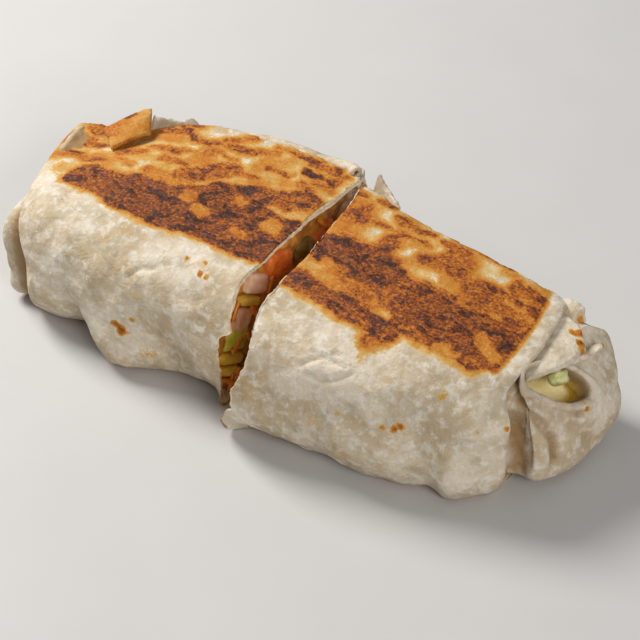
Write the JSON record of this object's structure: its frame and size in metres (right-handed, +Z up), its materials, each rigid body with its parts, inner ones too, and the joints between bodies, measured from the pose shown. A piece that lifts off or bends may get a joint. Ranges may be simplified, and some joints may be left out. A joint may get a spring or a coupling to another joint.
{
  "type": "buffalo chicken wrap",
  "caption": "Toasted flour tortilla wrap with tucked ends, cut across the middle, filled with chopped chicken, celery, pepper and carrot.",
  "frame": {"origin": "middle of the underside of the whole wrap's outer box", "axes": "+X along the wrap towards the open, gathered end, +Y away from the side shown in the picture, +Z up"},
  "size_m": [0.1996, 0.0958, 0.046],
  "materials": {
    "tortilla": "soft floury flatbread, griddle toasted on top",
    "filling": "moist chopped mixture with shredded carrot and hot sauce",
    "chicken": "moist cooked chicken",
    "celery": "wet crisp celery",
    "pepper": "wet yellow pepper"
  },
  "bodies": {
    "root": {"tortilla_left": "tortilla", "filling_left": "filling", "chicken_left_1": "chicken", "chicken_left_2": "chicken", "pepper_left_1": "pepper", "chicken_left_3": "chicken", "celery_left_1": "celery", "pepper_left_2": "pepper", "pepper_left_3": "pepper", "chicken_left_4": "chicken", "chicken_left_5": "chicken", "celery_left_2": "celery", "chicken_left_6": "chicken", "pepper_left_4": "pepper", "chicken_left_7": "chicken", "chicken_left_8": "chicken", "celery_left_3": "celery", "pepper_left_5": "pepper", "tortilla_right": "tortilla", "filling_right": "filling", "chicken_right_1": "chicken", "celery_right_1": "celery", "chicken_right_2": "chicken", "pepper_right_1": "pepper", "chicken_right_3": "chicken", "chicken_right_4": "chicken", "celery_right_2": "celery", "chicken_right_5": "chicken", "pepper_right_2": "pepper", "chicken_right_6": "chicken", "celery_right_3": "celery", "chicken_right_7": "chicken", "celery_mouth": "celery"}
  },
  "joints": []
}
